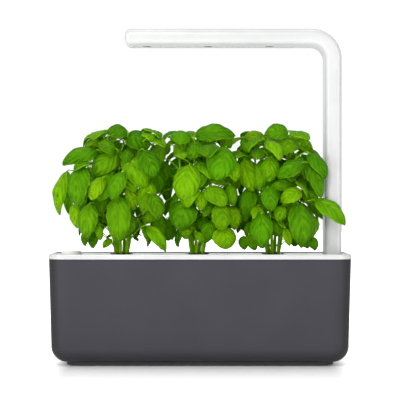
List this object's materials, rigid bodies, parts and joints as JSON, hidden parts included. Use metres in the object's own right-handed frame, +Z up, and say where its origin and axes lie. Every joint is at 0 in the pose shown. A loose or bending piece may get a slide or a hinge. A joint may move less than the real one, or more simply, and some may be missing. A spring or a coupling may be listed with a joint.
{
  "type": "countertop hydroponic garden",
  "caption": "Countertop hydroponic garden: a dark water-tank casing with a white tray of basil cups, a water float and a white plug-in grow lamp on a post.",
  "frame": {"origin": "on the standing surface, under the middle of the garden", "axes": "+X to the right seen from the front, +Y to the back, +Z up"},
  "size_m": [0.305, 0.125, 0.3406],
  "materials": {
    "casing_grey": "satin",
    "plinth_black": "matte",
    "foot_rubber": "matte",
    "steel_screw": "bright",
    "tank_plastic": "satin",
    "tray_white": "satin",
    "lamp_white": "soft gloss",
    "float_white": "satin",
    "foam": "matte",
    "cup_black": "satin",
    "inner_black": "satin",
    "contact_brass": "bright",
    "circuit_board": "satin",
    "chip_black": "matte",
    "light_chip": "gloss",
    "lens_clear": "clear",
    "sink_aluminium": "satin",
    "wire_jacket": "satin",
    "soil": "rough",
    "felt": "felt",
    "basil_stem": "satin",
    "basil_leaf": "soft gloss"
  },
  "bodies": {
    "base": {"casing": "casing_grey", "plinth": "plinth_black", "plinth_screws": "steel_screw", "rubber_feet": "foot_rubber", "water_tank": "tank_plastic", "lamp_socket": "inner_black", "socket_screws": "steel_screw", "contact_carrier": "inner_black", "socket_contacts": "contact_brass", "control_board": "circuit_board", "board_chips": "chip_black", "board_screws": "steel_screw", "dc_inlet": "inner_black", "inlet_pin": "contact_brass", "inlet_nut": "contact_brass", "base_wires": "wire_jacket"},
    "tray": {"tray": "tray_white", "float_guide": "tank_plastic"},
    "float": {"float_cap": "float_white", "float_body": "foam"},
    "pod_left": {"cup_left": "cup_black", "cup_lid_left": "tray_white", "soil_left": "soil", "wick_left": "felt", "basil_stems_left": "basil_stem", "basil_leaves_left": "basil_leaf"},
    "pod_middle": {"cup_middle": "cup_black", "cup_lid_middle": "tray_white", "soil_middle": "soil", "wick_middle": "felt", "basil_stems_middle": "basil_stem", "basil_leaves_middle": "basil_leaf"},
    "pod_right": {"cup_right": "cup_black", "cup_lid_right": "tray_white", "soil_right": "soil", "wick_right": "felt", "basil_stems_right": "basil_stem", "basil_leaves_right": "basil_leaf"},
    "extension": {"extension_tube": "lamp_white", "extension_plug": "inner_black", "extension_pins": "contact_brass", "extension_socket": "inner_black", "extension_contacts": "contact_brass", "extension_wires": "wire_jacket"},
    "lamp": {"lamp_shell": "lamp_white", "lamp_panel": "lamp_white", "panel_screws": "steel_screw", "led_board": "circuit_board", "led_chips": "light_chip", "led_bezels": "inner_black", "led_lenses": "lens_clear", "heat_sink": "sink_aluminium", "lamp_plug": "inner_black", "lamp_plug_pins": "contact_brass", "lamp_wires": "wire_jacket"}
  },
  "joints": [
    {"name": "tray_lift", "type": "slide", "parent": "base", "child": "tray", "axis": [0, 0, 1], "range_m": [0, 0.05]},
    {"name": "float_rise", "type": "slide", "parent": "tray", "child": "float", "axis": [0, 0, 1], "range_m": [-0.025, 0]},
    {"name": "extension_lift", "type": "slide", "parent": "base", "child": "extension", "axis": [0, 0, 1], "range_m": [0, 0.05]},
    {"name": "lamp_lift", "type": "slide", "parent": "extension", "child": "lamp", "axis": [0, 0, 1], "range_m": [0, 0.03]},
    {"name": "cup_lift_left", "type": "slide", "parent": "tray", "child": "pod_left", "axis": [0, 0, 1], "range_m": [0, 0.065]},
    {"name": "cup_lift_middle", "type": "slide", "parent": "tray", "child": "pod_middle", "axis": [0, 0, 1], "range_m": [0, 0.065]},
    {"name": "cup_lift_right", "type": "slide", "parent": "tray", "child": "pod_right", "axis": [0, 0, 1], "range_m": [0, 0.065]}
  ]
}
